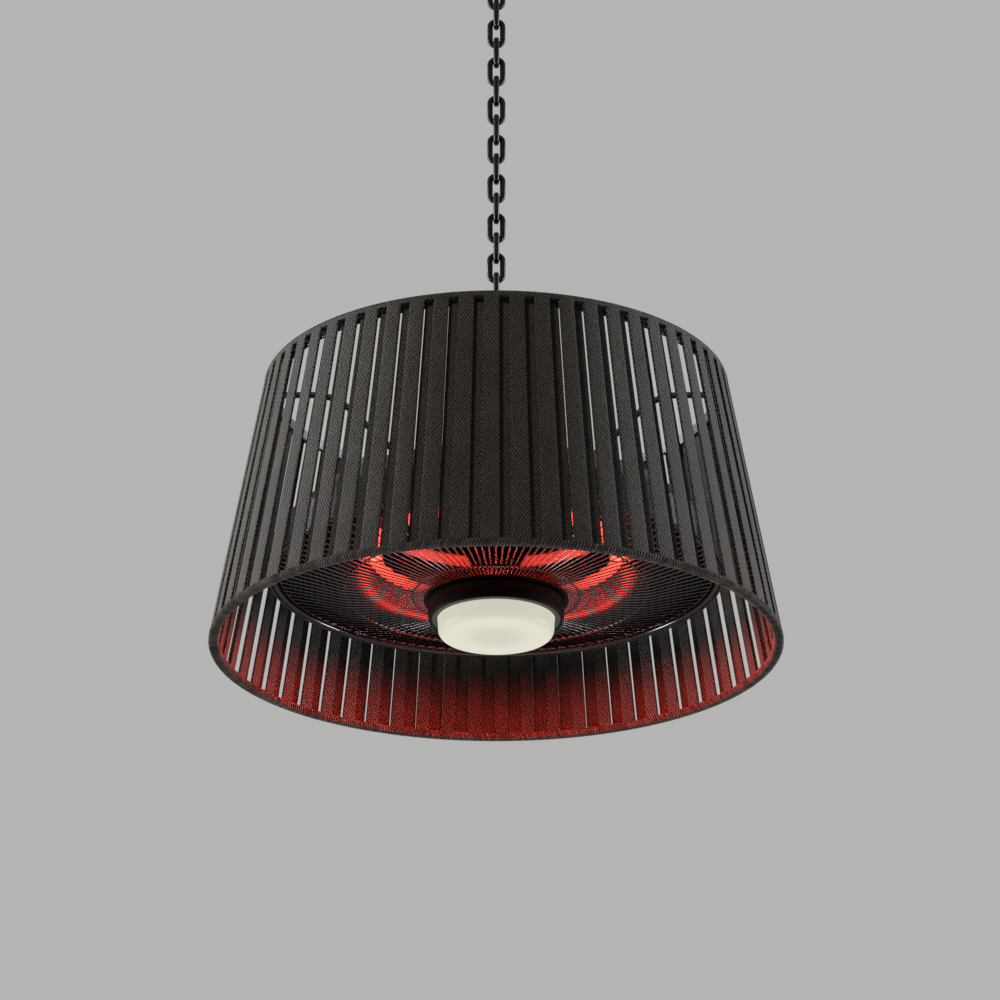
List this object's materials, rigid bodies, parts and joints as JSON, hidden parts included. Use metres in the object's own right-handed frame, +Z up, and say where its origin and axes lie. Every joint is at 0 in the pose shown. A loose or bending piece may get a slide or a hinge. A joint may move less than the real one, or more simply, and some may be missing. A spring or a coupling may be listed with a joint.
{
  "type": "hanging patio heater",
  "caption": "Hanging patio heater: tapered slatted textile shade around a ring heater with a wire guard and a round lamp, hung from a ceiling plate by a chain and spring hook.",
  "frame": {"origin": "centre of the ceiling plate's screw circle, on the ceiling face", "axes": "+Z up into the ceiling; -Y is the front that the picture shows, +X to its right"},
  "size_m": [0.5199, 0.52, 0.7416],
  "materials": {
    "black_steel": "gloss black",
    "black_enamel": "satin black",
    "black_plastic": "matt",
    "cream_plastic": "matt",
    "dark_reflector": "polished, dark",
    "bare_steel": "plain",
    "guard_steel": "bright",
    "glowing_quartz": "clear, glowing red",
    "tube_ceramic": "unglazed, dark",
    "lamp_bezel_paint": "satin",
    "lamp_board_white": "matt",
    "opal_diffuser": "opal, glowing",
    "charcoal_weave": "twill weave"
  },
  "bodies": {
    "ceiling_fitting": {"ceiling_plate": "black_steel", "ceiling_hook": "black_steel"},
    "top_link": {"chain_link_01": "black_steel"},
    "chain": {"chain_link_02": "black_steel", "chain_link_03": "black_steel", "chain_link_04": "black_steel", "chain_link_05": "black_steel", "chain_link_06": "black_steel", "chain_link_07": "black_steel", "chain_link_08": "black_steel", "chain_link_09": "black_steel", "chain_link_10": "black_steel", "chain_link_11": "black_steel", "chain_link_12": "black_steel", "chain_link_13": "black_steel", "chain_link_14": "black_steel", "chain_link_15": "black_steel", "chain_link_16": "black_steel", "chain_link_17": "black_steel"},
    "spring_hook": {"spring_hook_body": "black_steel", "gate_rivet": "black_steel"},
    "gate": {"spring_hook_gate": "black_steel"},
    "heater": {"suspension_eye": "black_steel", "suspension_stem": "black_steel", "stem_nut": "black_steel", "terminal_cover": "black_enamel", "power_gland": "black_plastic", "terminal_block": "cream_plastic", "lamp_driver": "cream_plastic", "housing_pan": "black_enamel", "reflector": "dark_reflector", "reflector_spacer_1": "bare_steel", "reflector_spacer_2": "bare_steel", "reflector_spacer_3": "bare_steel", "reflector_spacer_4": "bare_steel", "heating_tube_right": "glowing_quartz", "heating_tube_left": "glowing_quartz", "tube_holder_front": "tube_ceramic", "tube_holder_back": "tube_ceramic", "tube_clip_right": "bare_steel", "tube_clip_left": "bare_steel", "guard": "guard_steel", "guard_inner_hoop": "guard_steel", "guard_mid_hoop": "guard_steel", "guard_edge_hoop": "guard_steel", "guard_bead": "black_enamel", "lamp_post": "black_enamel", "lamp_housing": "black_enamel", "lamp_bezel": "lamp_bezel_paint", "lamp_board": "lamp_board_white", "lamp_diffuser": "opal_diffuser", "shade": "charcoal_weave", "shade_spider": "black_enamel"}
  },
  "joints": [
    {"name": "hook_swing", "type": "hinge", "parent": "ceiling_fitting", "child": "top_link", "pos_m": [0, 0, -0.036], "axis": [1, 0, 0], "range_deg": [-50, 50]},
    {"name": "chain_swing", "type": "hinge", "parent": "top_link", "child": "chain", "pos_m": [0, 0, -0.05675], "axis": [0, 1, 0], "range_deg": [-50, 50]},
    {"name": "spring_hook_swing", "type": "hinge", "parent": "chain", "child": "spring_hook", "pos_m": [0, 0, -0.39275], "axis": [0, 1, 0], "range_deg": [-45, 45]},
    {"name": "heater_swing", "type": "hinge", "parent": "spring_hook", "child": "heater", "pos_m": [0, 0, -0.4313], "axis": [1, 0, 0], "range_deg": [-40, 40]},
    {"name": "gate_hinge", "type": "hinge", "parent": "spring_hook", "child": "gate", "pos_m": [0.007, 0, -0.4173], "axis": [0, -1, 0], "range_deg": [0, 15], "stiffness_Nm_per_rad": 0.02}
  ]
}
